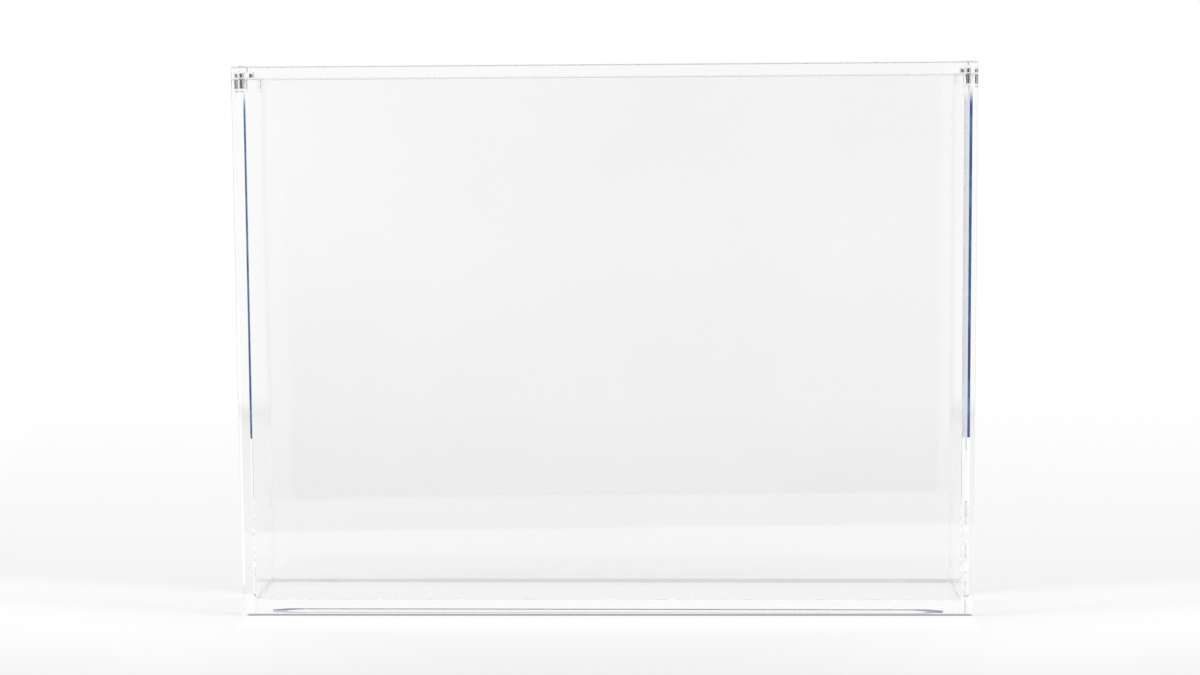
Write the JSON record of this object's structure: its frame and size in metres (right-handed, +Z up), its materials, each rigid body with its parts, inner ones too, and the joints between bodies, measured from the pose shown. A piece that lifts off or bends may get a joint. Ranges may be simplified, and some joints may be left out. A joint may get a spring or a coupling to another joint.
{
  "type": "trading card display case",
  "caption": "Clear upright box of polished acrylic sheet with a flat lift-off lid, flush with the walls and held by small magnets at the corners.",
  "frame": {"origin": "middle of the footprint, on the surface that the case stands on", "axes": "+X along the case's width to the right as seen from the front, +Y towards the back, +Z up and the way the lid lifts"},
  "size_m": [0.308, 0.056, 0.23],
  "materials": {
    "acrylic": "clear cast acrylic sheet, polished faces and edges",
    "nickel_plate": "nickel plating on magnets, bright"
  },
  "bodies": {
    "case": {"base_panel": "acrylic", "front_panel": "acrylic", "back_panel": "acrylic", "left_panel": "acrylic", "right_panel": "acrylic", "case_magnet_front_left": "nickel_plate", "case_magnet_front_right": "nickel_plate", "case_magnet_back_left": "nickel_plate", "case_magnet_back_right": "nickel_plate"},
    "lid": {"lid_panel": "acrylic", "lid_magnet_front_left": "nickel_plate", "lid_magnet_front_right": "nickel_plate", "lid_magnet_back_left": "nickel_plate", "lid_magnet_back_right": "nickel_plate"}
  },
  "joints": [
    {"name": "lid_lift", "type": "slide", "parent": "case", "child": "lid", "axis": [0, 0, 1], "range_m": [0, 0.24]}
  ]
}
